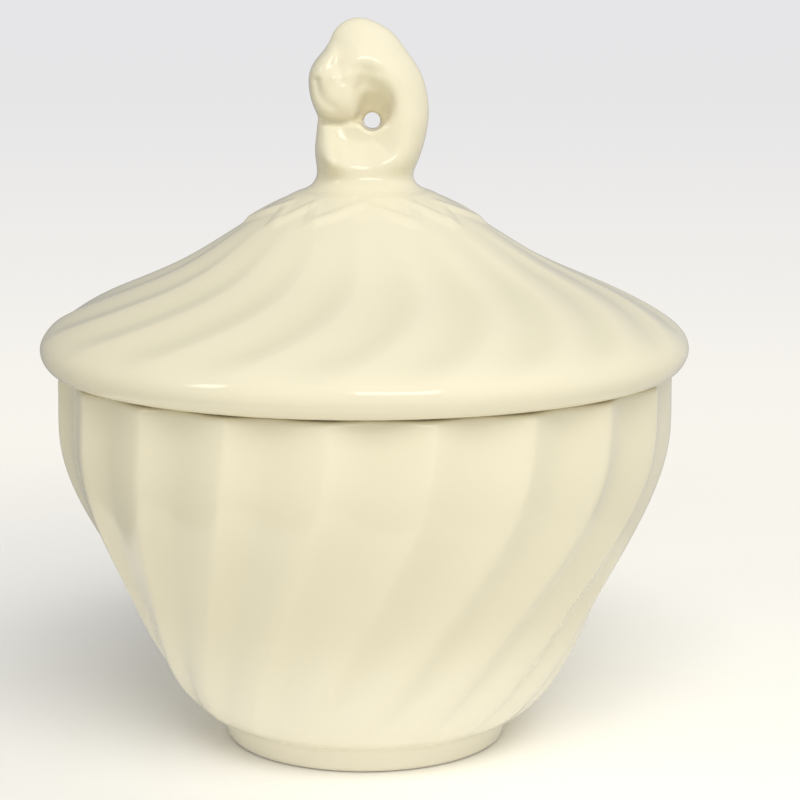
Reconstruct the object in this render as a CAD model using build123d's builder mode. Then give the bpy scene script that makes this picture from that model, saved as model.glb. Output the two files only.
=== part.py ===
"""A fluted earthenware jam pot with a loose lid and a pierced scroll finial.

The frame has its origin at the bottom centre of the foot, +Z up, and the front of
the pot towards -Y. All sizes are in millimetres and all angles in degrees.
"""

import os
from math import cos, pi, radians, sin

from build123d import *

# Fluting, shared by the pot and the lid
flute_count = 20
flute_depth = 1.2
section_count = 9

# Pot: outside, from the rim down
pot_height = 58.8
rim_radius = 47.5
lip_height = 2.4
lip_round = 1.0
lip_proud = 0.3
belly_radius = 47.4
belly_drop = 10.0
hip_radius = 43.0
hip_drop = 23.4
waist_radius = 36.8
waist_height = 23.0
heel_radius = 30.9
heel_height = 11.0
heel_slope = 0.3

# Pot: how its flutes twist, and the shares of the wall where they die away
pot_first_ridge = 11.5
pot_twist = 29.0
pot_twist_ease = 1.6
heel_fade = 0.25
lip_fade = 0.12

# Pot: foot ring and inside
foot_radius = 21.8
foot_height = 4.0
foot_flare = 1.3
foot_groove = 0.5
foot_ring_width = 3.2
foot_recess = 2.4
foot_edge_round = 0.7
pot_wall = 4.2
floor_thickness = 4.5
heel_fill = 1.5

# Lid: outside, from the edge up to the crown, which is the seat of the finial
lid_radius = 50.0
lid_edge_rise = 3.2
lid_edge_pull = 0.6
lid_underhang = 1.8
lid_height = 27.6
shoulder_radius = 44.4
shoulder_rise = 9.2
slope_radius = 27.2
slope_rise = 17.2
collar_radius = 15.6
collar_rise = 24.2
crown_slope = 0.5

# Lid: how its flutes swing, and the shares of the slope where they die away
lid_first_ridge = 14.5
lid_twist = 44.0
lid_twist_crest = 0.3
edge_fade = 0.2
collar_fade = 0.4
collar_plain = 0.05

# Lid: hollow underside and locating flange
lid_wall = 4.8
dome_slope = 2.0
flange_depth = 5.0
flange_wall = 3.4
flange_clearance = 1.0
flange_chamfer = 0.8

# Leaf collar round the neck: angle from the front and radius, for one quarter
leaf_rise = 0.8
leaf_notches = ((0, 11.6), (36, 12.8), (62, 13.8))
leaf_tips = ((28, 17.0), (52, 18.6), (90, 19.4))
leaf_bow = 0.12

# Finial: stump
neck_radius = 9.2
neck_depth = 8.6
neck_height = 1.9
neck_pinch = 1.8
stump_height = 16.0
stump_radius = 6.6
stump_depth = 3.4

# Finial: a rope of clay that rises on the right and wraps over the top
rope_radius = 3.9
rope_flatness = 1.2
rope_root = 0.72
rope_root_share = 0.4
rope_start_rise = 4.6
arm_reach = 6.2
arm_bend = 7.0
arm_sweep = 90.0
crest_bend = 10.5
crest_sweep = 70.0
cap_radius = 4.5

# Finial: pierced dish, and the volute that ends the rope
dish_radius = 5.6
dish_drop = 1.4
hole_radius = 1.3
curl_bend = 3.6
curl_sweep = 200.0
curl_taper = 0.7
eye_radius = 2.7
tip_radius = 3.1

# Derived places
crown_height = pot_height + lid_height
mouth_radius = rim_radius - pot_wall
floor_height = foot_height + floor_thickness
flange_radius = mouth_radius - flange_clearance
flange_bore = flange_radius - flange_wall
flange_bottom = pot_height - flange_depth


def smooth_step(value, start, end):
    """Rise from 0 to 1 as value goes from start to end, flat at both ends."""
    share = min(1.0, max(0.0, (value - start) / (end - start)))
    return share * share * (3 - 2 * share)


def stations(count):
    """Shares of an outline's length, closer together towards both ends."""
    return [(1 - cos(pi * step / (count - 1))) / 2 for step in range(count)]


def polar(radius, angle):
    """A point on a level plane; angle 0 is the front and 90 is the right."""
    return (radius * sin(radians(angle)), -radius * cos(radians(angle)))


def flutes(ridge_radius, depth, first_ridge):
    """Draw one level outline: a ring of hollow flutes between sharp ridges."""
    pitch = 360 / flute_count
    middle_radius = 2 * (ridge_radius - depth) - ridge_radius * cos(radians(pitch / 2))
    for flute in range(flute_count):
        ridge = first_ridge + flute * pitch
        Bezier(
            polar(ridge_radius, ridge),
            polar(middle_radius, ridge + pitch / 2),
            polar(ridge_radius, ridge + pitch),
        )


def pot_ridge(height):
    """Angle of the pot's first ridge, which twists faster towards the foot."""
    fall = (pot_height - height) / pot_height
    return pot_first_ridge - pot_twist * fall**pot_twist_ease


def lid_ridge(radius):
    """Angle of the lid's first ridge, which swings one way and then back."""
    outward = (radius - collar_radius) / (lid_radius - collar_radius)
    return lid_first_ridge - lid_twist * (outward - lid_twist_crest) ** 2


os.makedirs("parts", exist_ok=True)

# Pot
with BuildLine(Plane.XZ):
    pot_outline = Spline(
        (foot_radius + foot_flare - foot_groove, foot_height),
        (heel_radius, heel_height),
        (waist_radius, waist_height),
        (hip_radius, pot_height - hip_drop),
        (belly_radius, pot_height - belly_drop),
        (rim_radius - lip_proud, pot_height - lip_height / 2),
        tangents=((1, heel_slope), (0, 1)),
    )

with BuildPart() as pot:
    for share in stations(section_count):
        place = pot_outline @ share
        fade = smooth_step(share, 0, heel_fade) * smooth_step(1 - share, 0, lip_fade)
        depth = fade * flute_depth * place.X / rim_radius
        with BuildSketch(Plane.XY.offset(place.Z)):
            with BuildLine():
                flutes(place.X, depth, pot_ridge(place.Z))
            make_face()
    loft()

    # Plain rolled lip
    with BuildSketch(Plane.XZ) as lip:
        with Locations((rim_radius, pot_height)):
            Rectangle(pot_wall, lip_height, align=(Align.MAX, Align.MAX))
        fillet(lip.vertices().group_by(Axis.X)[-1], lip_round)
    revolve(axis=Axis.Z)

    # Foot ring with a recess inside it
    with BuildSketch(Plane.XZ) as foot:
        with BuildLine():
            Polyline(
                (0, foot_recess),
                (foot_radius - foot_ring_width, foot_recess),
                (foot_radius - foot_ring_width, 0),
                (foot_radius, 0),
                (foot_radius + foot_flare, foot_height),
                (foot_radius - foot_ring_width, foot_height + foot_flare),
                (0, foot_height + foot_flare),
                close=True,
            )
        make_face()
        fillet(foot.vertices().group_by(Axis.X)[-2:], foot_edge_round)
    revolve(axis=Axis.Z)

    # Inside of the bowl
    with BuildSketch(Plane.XZ):
        with BuildLine():
            wall = Spline(
                (0, floor_height),
                (heel_radius - pot_wall, heel_height + heel_fill),
                (waist_radius - pot_wall, waist_height),
                (hip_radius - pot_wall, pot_height - hip_drop),
                (belly_radius - pot_wall, pot_height - belly_drop),
                (mouth_radius, pot_height - lip_round),
                tangents=((1, 0), (0, 1)),
            )
            edge = RadiusArc(wall @ 1, (mouth_radius + lip_round, pot_height), lip_round)
            Polyline(edge @ 1, (0, pot_height), wall @ 0)
        make_face()
    revolve(axis=Axis.Z, mode=Mode.SUBTRACT)

pot.part.label = "pot"
export_step(pot.part, "parts/pot.step")

# Leaf collar: a raised skin cut to the outline of the leaves
with BuildPart() as leaves:
    with BuildSketch(Plane.XZ):
        with BuildLine():
            skin = Spline(
                (neck_radius, crown_height - leaf_rise),
                (collar_radius, pot_height + collar_rise + leaf_rise),
                (slope_radius, pot_height + slope_rise + leaf_rise),
            )
            Polyline(
                skin @ 1,
                (slope_radius, pot_height + slope_rise - leaf_rise),
                (neck_radius, pot_height + collar_rise),
                skin @ 0,
            )
        make_face()
    revolve(axis=Axis.Z)

    leaf_tip_points = [polar(radius, angle) for angle, radius in leaf_tips]
    leaf_notch_points = [polar(radius, angle) for angle, radius in leaf_notches]
    with BuildSketch(Plane.XY.offset(pot_height)):
        with BuildLine():
            for notch, tip in zip(leaf_notch_points, leaf_tip_points):
                SagittaArc(notch, tip, leaf_bow)
            for tip, notch in zip(leaf_tip_points, leaf_notch_points[1:]):
                Line(tip, notch)
            mirror(about=Plane.YZ)
            mirror(about=Plane.XZ)
        make_face()
    extrude(amount=lid_height, mode=Mode.INTERSECT)

# Lid
with BuildLine(Plane.XZ):
    lid_outline = Spline(
        (lid_radius, pot_height + lid_edge_rise),
        (shoulder_radius, pot_height + shoulder_rise),
        (slope_radius, pot_height + slope_rise),
        (collar_radius, pot_height + collar_rise),
        (neck_radius, crown_height),
        tangents=((0, 1), (-1, crown_slope)),
        tangent_scalars=(lid_edge_pull, 1),
    )

with BuildPart() as lid:
    # Under edge, plain
    with BuildSketch(Plane.XY.offset(pot_height)):
        with BuildLine():
            flutes(lid_radius - lid_underhang, 0, lid_ridge(lid_radius))
        make_face()
    # From the widest point up to the crown
    for share in stations(section_count - 1):
        place = lid_outline @ share
        steepness = (lid_outline % share).Z
        fade = smooth_step(share, 0, edge_fade) * smooth_step(1 - share, collar_plain, collar_fade)
        depth = fade * flute_depth * place.X / lid_radius / steepness
        with BuildSketch(Plane.XY.offset(place.Z)):
            with BuildLine():
                flutes(place.X, depth, lid_ridge(place.X))
            make_face()
    loft()
    add(leaves)

    # Locating flange that drops into the mouth
    with BuildSketch(Plane.XZ) as flange:
        with Locations((flange_radius, flange_bottom)):
            Rectangle(flange_wall, flange_depth + lid_edge_rise, align=(Align.MAX, Align.MIN))
        chamfer(flange.vertices().group_by(Axis.Y)[0], flange_chamfer)
    revolve(axis=Axis.Z)

    # Hollow underside
    with BuildSketch(Plane.XZ):
        with BuildLine():
            dome = Spline(
                (flange_bore, pot_height + lid_edge_rise),
                (slope_radius, pot_height + slope_rise - lid_wall),
                (collar_radius, pot_height + collar_rise - lid_wall),
                (0, crown_height - lid_wall),
                tangents=((-1, dome_slope), (-1, 0)),
            )
            Polyline(dome @ 1, (0, flange_bottom), (flange_bore, flange_bottom), dome @ 0)
        make_face()
    revolve(axis=Axis.Z, mode=Mode.SUBTRACT)

lid.part.label = "lid"
export_step(lid.part, "parts/lid.step")

# Finial
with BuildLine(Plane.XZ) as rope:
    arm = JernArc((arm_reach - arm_bend, crown_height + rope_start_rise), (1, 0), arm_bend, arm_sweep)
    crest = JernArc(arm @ 1, arm % 1, crest_bend, crest_sweep)

with BuildLine(Plane.XZ):
    curl = JernArc(crest @ 1, crest % 1, curl_bend, curl_sweep)

with BuildPart() as finial:
    # Stump, waisted just above its seat on the crown
    with BuildSketch(Plane.XY.offset(crown_height)):
        Ellipse(neck_radius, neck_depth)
    with BuildSketch(Plane.XY.offset(crown_height + neck_height)):
        Ellipse(neck_radius - neck_pinch, neck_depth - neck_pinch)
    with BuildSketch(Plane.XY.offset(crown_height + stump_height)):
        Ellipse(stump_radius, stump_depth)
    loft()

    # Rope, ending in a rounded cap
    for share in stations(section_count):
        radius = rope_radius * (rope_root + (1 - rope_root) * smooth_step(share, 0, rope_root_share))
        with BuildSketch(Plane(rope.line @ share, (0, 1, 0), rope.line % share)):
            Ellipse(radius * rope_flatness, radius)
    loft()
    with Locations(crest @ 1):
        Sphere(cap_radius)

    # Dishes scooped from the front and the back, which meet in a round hole
    dish_offset = (dish_radius**2 - hole_radius**2) ** 0.5
    dish_middle = arm @ 1 - Vector(rope_radius + hole_radius, 0, dish_drop)
    with Locations(dish_middle + (0, dish_offset, 0), dish_middle - (0, dish_offset, 0)):
        Sphere(dish_radius, mode=Mode.SUBTRACT)

    # Volute: the end of the rope curls round an eye and stops in a ball
    for share in stations(section_count):
        radius = rope_radius * (1 - share * (1 - curl_taper))
        with BuildSketch(Plane(curl @ share, (0, 1, 0), curl % share)):
            Ellipse(radius * rope_flatness, radius)
    loft()
    with Locations(curl.center_point):
        Sphere(eye_radius)
    with Locations(curl @ 1):
        Sphere(tip_radius)

finial.part.label = "finial"
export_step(finial.part, "parts/finial.step")
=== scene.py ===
"""Looks of a cream-glazed jam pot: a fluted bowl, a domed lid with a leaf collar and a scroll finial.

Sizes are in millimetres, as on a maker's drawing, and become metres when a mesh is made.
Angles run from the front of the pot (-Y) towards its right side (+X).
"""

import logging
from dataclasses import dataclass
from enum import Enum
from math import cos, pi, radians, sin, tau
from typing import Any, Optional, Sequence, Union

import bmesh
import bpy
import numpy as np
import openvdb
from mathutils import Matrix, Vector


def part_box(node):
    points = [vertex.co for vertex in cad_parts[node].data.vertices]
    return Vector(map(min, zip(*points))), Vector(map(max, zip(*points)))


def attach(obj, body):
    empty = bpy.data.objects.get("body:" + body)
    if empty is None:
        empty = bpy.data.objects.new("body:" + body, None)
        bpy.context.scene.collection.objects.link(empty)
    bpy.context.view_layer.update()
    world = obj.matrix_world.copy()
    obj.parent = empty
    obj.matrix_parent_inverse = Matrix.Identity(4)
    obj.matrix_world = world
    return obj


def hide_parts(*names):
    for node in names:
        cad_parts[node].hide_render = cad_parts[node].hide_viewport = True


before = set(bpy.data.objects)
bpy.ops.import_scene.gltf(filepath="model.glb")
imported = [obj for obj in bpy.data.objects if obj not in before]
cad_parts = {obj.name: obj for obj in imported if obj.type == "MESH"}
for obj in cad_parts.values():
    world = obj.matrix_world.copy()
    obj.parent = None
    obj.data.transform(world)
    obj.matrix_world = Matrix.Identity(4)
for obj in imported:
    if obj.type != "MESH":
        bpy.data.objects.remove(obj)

LOG = logging.getLogger("jam_pot")
MM = 0.001

# Samples of a smooth curve for each level that it passes through
SAMPLES_PER_LEVEL = 12
# Least values that keep a division within bounds in the middle of a lump
LEAST_LEVEL = 1e-9
LEAST_SLOPE = 1e-6

Array = np.ndarray
Pair = tuple[float, float]
Triple = tuple[float, float, float]
Line = tuple[Triple, ...]


class Mark(str, Enum):
    """Names of the values that a mesh carries at its points."""

    FLUTE_DEPTH = "flute_depth"
    RIDGE_ANGLE = "ridge_angle"
    SOFTNESS = "softness"
    HOLLOW = "hollow"


class Body(str, Enum):
    """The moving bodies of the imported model."""

    POT = "pot_body"
    LID = "lid_body"


def smooth_step(value: Array, start: float, end: float) -> Array:
    """Rise from 0 to 1 between start and end, flat at both ends."""
    share = np.clip((np.asarray(value, float) - start) / (end - start), 0.0, 1.0)
    return share * share * (3.0 - 2.0 * share)


def smooth_line(
    points: Sequence[Sequence[float]],
    count: int,
    start: Optional[Sequence[float]] = None,
    end: Optional[Sequence[float]] = None,
) -> Array:
    """Sample the smooth curve through a few points.

    Args:
        points: The points that the curve passes through.
        count: How many samples to take, evenly along the curve.
        start: Direction in which the curve leaves the first point, if it is held.
        end: Direction in which it arrives at the last point, if it is held.

    Returns:
        One row for each sample.
    """
    places = np.asarray(points, float)
    spans = np.linalg.norm(np.diff(places, axis=0), axis=1)
    knots = np.concatenate([[0.0], np.cumsum(spans)])
    last = len(places) - 1
    system = np.zeros((last + 1, last + 1))
    target = np.zeros_like(places)
    for i in range(1, last):
        before, after = spans[i - 1], spans[i]
        system[i, i - 1 : i + 2] = 1 / before, 2 / before + 2 / after, 1 / after
        rise = (places[i] - places[i - 1]) / before**2 + (places[i + 1] - places[i]) / after**2
        target[i] = 3 * rise
    for i, neighbour, span, held in ((0, 1, spans[0], start), (last, last - 1, spans[-1], end)):
        if held is None:
            system[i, i], system[i, neighbour] = 2, 1
            target[i] = 3 * (places[max(i, neighbour)] - places[min(i, neighbour)]) / span
        else:
            system[i, i] = 1
            target[i] = held
    slopes = np.linalg.solve(system, target)
    along = np.linspace(0.0, knots[-1], count)
    piece = np.clip(np.searchsorted(knots, along, side="right") - 1, 0, last - 1)
    span = spans[piece][:, None]
    t = (along - knots[piece])[:, None] / span
    return (
        places[piece] * (2 * t**3 - 3 * t**2 + 1)
        + slopes[piece] * span * (t**3 - 2 * t**2 + t)
        + places[piece + 1] * (3 * t**2 - 2 * t**3)
        + slopes[piece + 1] * span * (t**3 - t**2)
    )


def smooth_values(value: Array, places: Sequence[float], levels: Sequence[float]) -> Array:
    """Read a smooth curve of levels over places at each value."""
    curve = smooth_line(np.stack((places, levels), axis=1), SAMPLES_PER_LEVEL * len(places))
    return np.interp(value, curve[:, 0], curve[:, 1])


def round_corners(points: Sequence[Pair], radius: float, steps: int = 6) -> Array:
    """Follow straight runs whose corners are rounded off.

    Args:
        points: The corners, with the two ends of the line.
        radius: How far from each corner the rounding starts, up to half of a run.
        steps: Samples along each rounded corner.

    Returns:
        One row for each sample, ends included.
    """
    corners = np.asarray(points, float)
    line = [corners[0]]
    for before, corner, after in zip(corners, corners[1:], corners[2:]):
        back = before - corner
        ahead = after - corner
        enter = corner + back * min(radius / np.linalg.norm(back), 0.5)
        leave = corner + ahead * min(radius / np.linalg.norm(ahead), 0.5)
        for t in np.linspace(0.0, 1.0, steps):
            line.append(enter * (1 - t) ** 2 + corner * 2 * t * (1 - t) + leave * t**2)
    line.append(corners[-1])
    return np.array(line)


def smooth_union(first: Array, second: Array, blend: float) -> Array:
    """Join two shapes, filling the corner between them over a width of blend."""
    near = np.maximum(blend - np.abs(first - second), 0.0) / blend
    return np.minimum(first, second) - near**2 * blend / 4


def smooth_cut(shape: Array, tool: Array, blend: float) -> Array:
    """Take tool out of shape, rounding the edge between them over a width of blend."""
    return -smooth_union(-shape, tool, blend)


def add_object(name: str, data: bpy.types.ID) -> bpy.types.Object:
    """Put a new object into the scene.

    Args:
        name: Its name.
        data: The mesh, lamp or camera that it shows.

    Returns:
        The object, at the origin.
    """
    added = bpy.data.objects.new(name, data)
    bpy.context.scene.collection.objects.link(added)
    return added


def read_points(mesh: bpy.types.Mesh) -> Array:
    """Read where a mesh's points are.

    Args:
        mesh: The mesh, in metres.

    Returns:
        One row for each point, in millimetres.
    """
    places = np.empty(len(mesh.vertices) * 3, np.float32)
    mesh.vertices.foreach_get("co", places)
    return places.reshape(-1, 3).astype(float) / MM


def store_mark(mesh: bpy.types.Mesh, mark: Mark, values: Array) -> None:
    """Give each point of a mesh its own value, under the name of a mark."""
    stored = mesh.attributes.new(mark.value, "FLOAT", "POINT")
    stored.data.foreach_set("value", values.astype(np.float32))


def write_closed(work: bmesh.types.BMesh, mesh: bpy.types.Mesh) -> None:
    """Store a closed shape in a mesh, with its faces outwards and shaded smooth.

    Args:
        work: The shape, which is freed.
        mesh: The mesh that takes it.
    """
    bmesh.ops.recalc_face_normals(work, faces=work.faces)
    for face in work.faces:
        face.smooth = True
    work.to_mesh(mesh)
    work.free()


def place_piece(piece: bpy.types.Object, body: Body, node: str) -> bpy.types.Object:
    """Let a piece ride on its body and stand for its CAD node.

    Args:
        piece: The finished piece.
        body: The body that it moves with.
        node: The CAD node that it replaces.

    Returns:
        The same piece.
    """
    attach(piece, body.value)
    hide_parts(node)
    return piece


@dataclass
class Stretch:
    """Part of a turned piece's outline, with the flutes that it carries.

    Attributes:
        line: Radius and height of each row.
        depth: How deep the flutes are at each row.
        ridge: Angle of the first ridge at each row, in degrees.
        softness: Shape of the flutes at each row, from 0 for sharp ridges to 1 for a wave.
    """

    line: Array
    depth: Array
    ridge: Array
    softness: Array

    @classmethod
    def plain(cls, line: Array, ridge: float) -> "Stretch":
        """A stretch with no flutes, whose rows keep the ridge angle of their neighbour."""
        rows = len(line)
        return cls(line, np.zeros(rows), np.full(rows, ridge), np.ones(rows))

    @classmethod
    def joined(cls, stretches: Sequence["Stretch"]) -> "Stretch":
        """Join stretches, each of which starts on the row where the one before it ends.

        Args:
            stretches: The stretches, in order.

        Returns:
            One stretch, without the rows that would come twice.
        """
        first, *others = stretches
        parts = [first] + [stretch.after(1) for stretch in others]
        columns = zip(*(part.columns() for part in parts))
        return cls(*(np.concatenate(column) for column in columns))

    def columns(self) -> tuple[Array, ...]:
        """The line, depth, ridge and softness, in that order."""
        return self.line, self.depth, self.ridge, self.softness

    def after(self, row: int) -> "Stretch":
        """The rest of the stretch, from a row on."""
        return Stretch(*(column[row:] for column in self.columns()))


Number = Union["Value", float]
Paint = Union["Value", Triple]


class Value:
    """A number that flows through a node tree; arithmetic on it adds Math nodes."""

    def __init__(self, graph: "Graph", socket: bpy.types.NodeSocket) -> None:
        """Wrap one output socket of a node in graph."""
        self.graph = graph
        self.socket = socket

    def __add__(self, other: Number) -> "Value":
        """Sum."""
        return self.graph.maths("ADD", self, other)

    def __sub__(self, other: Number) -> "Value":
        """Difference."""
        return self.graph.maths("SUBTRACT", self, other)

    def __rsub__(self, other: Number) -> "Value":
        """Difference from a plain number."""
        return self.graph.maths("SUBTRACT", other, self)

    def __mul__(self, other: Number) -> "Value":
        """Product."""
        return self.graph.maths("MULTIPLY", self, other)

    def __truediv__(self, other: Number) -> "Value":
        """Quotient."""
        return self.graph.maths("DIVIDE", self, other)

    def __rtruediv__(self, other: Number) -> "Value":
        """Quotient of a plain number."""
        return self.graph.maths("DIVIDE", other, self)

    def __pow__(self, other: Number) -> "Value":
        """Power."""
        return self.graph.maths("POWER", self, other)

    __radd__ = __add__
    __rmul__ = __mul__


class Graph:
    """A node tree under construction.

    Attributes:
        MIX_SHARE: Place of the factor among a colour Mix node's inputs, whose names repeat.
        MIX_FIRST: Place of the first colour among them.
        MIX_SECOND: Place of the second colour among them.
        MIX_COLOUR: Place of the mixed colour among the node's outputs.
    """

    MIX_SHARE = 0
    MIX_FIRST = 6
    MIX_SECOND = 7
    MIX_COLOUR = 2

    def __init__(self, tree: bpy.types.NodeTree) -> None:
        """Start on tree, without the nodes that it came with."""
        self.tree = tree
        tree.nodes.clear()

    def node(
        self,
        kind: str,
        settings: Optional[dict[str, Any]] = None,
        inputs: Optional[dict[Union[str, int], Any]] = None,
    ) -> bpy.types.Node:
        """Add one node.

        Args:
            kind: Blender's name for the type of node.
            settings: Properties, set before the sockets.
            inputs: The value or link of each socket, by name or place.

        Returns:
            The new node.
        """
        made = self.tree.nodes.new(kind)
        for name, setting in (settings or {}).items():
            setattr(made, name, setting)
        for name, value in (inputs or {}).items():
            if isinstance(value, Value):
                value = value.socket
            if isinstance(value, bpy.types.NodeSocket):
                self.tree.links.new(value, made.inputs[name])
            else:
                made.inputs[name].default_value = value
        return made

    def out(self, node: bpy.types.Node, name: Union[str, int] = 0) -> Value:
        """One output of a node, ready for arithmetic."""
        return Value(self, node.outputs[name])

    def maths(self, operation: str, first: Number, second: Number = 0.0) -> Value:
        """The result of one Math node."""
        inputs = {0: first, 1: second}
        return self.out(self.node("ShaderNodeMath", {"operation": operation}, inputs))

    def part(self, vector: Union[Value, bpy.types.NodeSocket], axis: str) -> Value:
        """One coordinate of a vector."""
        return self.out(self.node("ShaderNodeSeparateXYZ", inputs={0: vector}), axis)

    def blend(self, share: Number, first: Paint, second: Paint) -> Value:
        """Mix two colours.

        Args:
            share: 0 for the first colour, 1 for the second.
            first: A colour from the tree, or its red, green and blue.
            second: The other colour.

        Returns:
            The mixed colour.
        """
        inputs = {self.MIX_SHARE: share}
        for socket, paint in ((self.MIX_FIRST, first), (self.MIX_SECOND, second)):
            inputs[socket] = paint if isinstance(paint, Value) else (*paint, 1.0)
        mixed = self.node("ShaderNodeMix", {"data_type": "RGBA"}, inputs)
        return self.out(mixed, self.MIX_COLOUR)

    def step(self, value: Value, limits: Pair) -> Value:
        """Rise smoothly from 0 to 1.

        Args:
            value: What the rise follows.
            limits: The value at the start of the rise and the value at its end.

        Returns:
            The risen share.
        """
        start, end = limits
        risen = self.node(
            "ShaderNodeMapRange",
            {"interpolation_type": "SMOOTHSTEP"},
            {"Value": value, "From Min": start, "From Max": end},
        )
        return self.out(risen)

    def noise(self, place: bpy.types.NodeSocket, scale: float, detail: float) -> Value:
        """Soft cloudy variation from 0 to 1.

        Args:
            place: The coordinates that it follows.
            scale: How many clouds there are to a metre.
            detail: How finely the clouds are broken up.

        Returns:
            The variation.
        """
        inputs = {"Vector": place, "Scale": scale, "Detail": detail}
        return self.out(self.node("ShaderNodeTexNoise", inputs=inputs), "Fac")


@dataclass(frozen=True)
class Fluting:
    """How the flutes of a piece are laid out.

    Attributes:
        depth: How deep a flute is where it is full.
        rounding: How far the glaze rounds a sharp ridge, as a share of half a flute.
        lean: How far the hollow lies to the left of a flute's middle, as a share of the flute.
        count: Number of flutes.
        columns: Points across one flute.
    """

    depth: float
    rounding: float
    lean: float
    count: int = 20
    columns: int = 20


class FlutedTurning:
    """A geometry tree that turns an outline round the upright axis and hollows flutes into it.

    Attributes:
        SOCKETS: The type of each named input.
        MERGE_DISTANCE: Points that lie closer than this, in metres, become one.
        CROWDING: How far the columns of a flute crowd towards its ridges, from 0 to 1.
    """

    SOCKETS = {
        "Outline": "NodeSocketGeometry",
        "Rows": "NodeSocketInt",
        "Flutes": "NodeSocketInt",
        "Columns per Flute": "NodeSocketInt",
        "Ridge Rounding": "NodeSocketFloat",
        "Lean": "NodeSocketFloat",
        "Full Depth": "NodeSocketFloat",
        "Glaze": "NodeSocketMaterial",
    }
    MERGE_DISTANCE = 1e-6
    CROWDING = 0.55

    def __init__(self) -> None:
        """Build the tree with its named inputs."""
        self.tree = bpy.data.node_groups.new("fluted_turning", "GeometryNodeTree")
        self.inputs = {
            name: self.tree.interface.new_socket(name, in_out="INPUT", socket_type=kind).identifier
            for name, kind in self.SOCKETS.items()
        }
        self.tree.interface.new_socket("Piece", in_out="OUTPUT", socket_type="NodeSocketGeometry")
        self._fill(Graph(self.tree))

    def _fill(self, graph: Graph) -> None:
        """Add the nodes: a grid of rows and columns, bent round the axis and hollowed.

        Args:
            graph: The empty tree.
        """
        given = graph.node("NodeGroupInput")
        rows = graph.out(given, "Rows")
        flutes = graph.out(given, "Flutes")
        per_flute = graph.out(given, "Columns per Flute")
        columns = flutes * per_flute
        grid = graph.node(
            "GeometryNodeMeshGrid",
            inputs={"Size X": 1.0, "Size Y": 1.0, "Vertices X": columns + 1, "Vertices Y": rows},
        )
        index = graph.out(graph.node("GeometryNodeInputIndex"))
        column = graph.maths("FLOOR", (index + 0.5) / rows)
        row = index - column * rows
        place = self._at_row(graph, given, row)
        depth = self._at_row(graph, given, row, Mark.FLUTE_DEPTH)
        ridge = self._at_row(graph, given, row, Mark.RIDGE_ANGLE)
        softness = self._at_row(graph, given, row, Mark.SOFTNESS)

        turned = column / per_flute
        share = graph.maths("FRACT", turned)
        crowded = share - graph.maths("SINE", share * tau) * (self.CROWDING / tau)
        angle = (turned - share + crowded) * (tau / flutes) + ridge
        leaned = crowded + graph.out(given, "Lean") * graph.maths("SINE", crowded * pi)
        shape = self._flute(graph, leaned, graph.out(given, "Ridge Rounding"), softness)
        hollow = depth * shape
        radius = graph.part(place, "X") - hollow
        position = graph.node(
            "ShaderNodeCombineXYZ",
            inputs={
                "X": radius * graph.maths("SINE", angle),
                "Y": radius * graph.maths("COSINE", angle) * -1,
                "Z": graph.part(place, "Z"),
            },
        )

        geometry = grid.outputs["Mesh"]
        for kind, settings, inputs in (
            ("GeometryNodeSetPosition", {}, {"Position": position.outputs[0]}),
            # How deep each point lies in its flute, which the glaze darkens as gathered glaze and
            # painted shade.
            (
                "GeometryNodeStoreNamedAttribute",
                {"data_type": "FLOAT", "domain": "POINT"},
                {"Name": Mark.HOLLOW.value, "Value": hollow / graph.out(given, "Full Depth")},
            ),
            ("GeometryNodeMergeByDistance", {}, {"Distance": self.MERGE_DISTANCE}),
            ("GeometryNodeSetShadeSmooth", {}, {}),
            ("GeometryNodeRealizeInstances", {}, {}),
            ("GeometryNodeSetMaterial", {}, {"Material": given.outputs["Glaze"]}),
        ):
            done = graph.node(kind, settings, {"Geometry": geometry, **inputs})
            geometry = done.outputs["Geometry"]
        graph.node("NodeGroupOutput", inputs={"Piece": geometry})

    @staticmethod
    def _at_row(
        graph: Graph, given: bpy.types.Node, row: Value, mark: Optional[Mark] = None
    ) -> Value:
        """Read what the outline holds at a row.

        Args:
            graph: The tree under construction.
            given: The tree's input node.
            row: Number of the row.
            mark: Name of the value, or None for the place of the row.

        Returns:
            The value, for every point of that row.
        """
        if mark is None:
            kind = "FLOAT_VECTOR"
            source = graph.node("GeometryNodeInputPosition")
        else:
            kind = "FLOAT"
            source = graph.node(
                "GeometryNodeInputNamedAttribute", {"data_type": kind}, {"Name": mark.value}
            )
        sampled = graph.node(
            "GeometryNodeSampleIndex",
            {"data_type": kind, "domain": "POINT"},
            {"Geometry": given.outputs["Outline"], "Value": graph.out(source), "Index": row},
        )
        return graph.out(sampled)

    @staticmethod
    def _flute(graph: Graph, share: Value, rounding: Value, softness: Value) -> Value:
        """Shape a flute from ridge to ridge.

        Args:
            graph: The tree under construction.
            share: How far across the flute a point lies, from 0 to 1.
            rounding: How far the glaze rounds a sharp ridge.
            softness: 0 for a scoop between sharp ridges, 1 for a wave.

        Returns:
            Depth as a share of the full depth: 0 on a ridge.
        """
        from_ridge = 1 - graph.maths("ABSOLUTE", share * 2 - 1)
        rounded = graph.maths("SQRT", from_ridge**2 + rounding**2) - rounding
        scoop = rounded * (2 - rounded)
        wave = 0.5 - graph.maths("COSINE", share * tau) * 0.5
        return scoop + (wave - scoop) * softness

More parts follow.
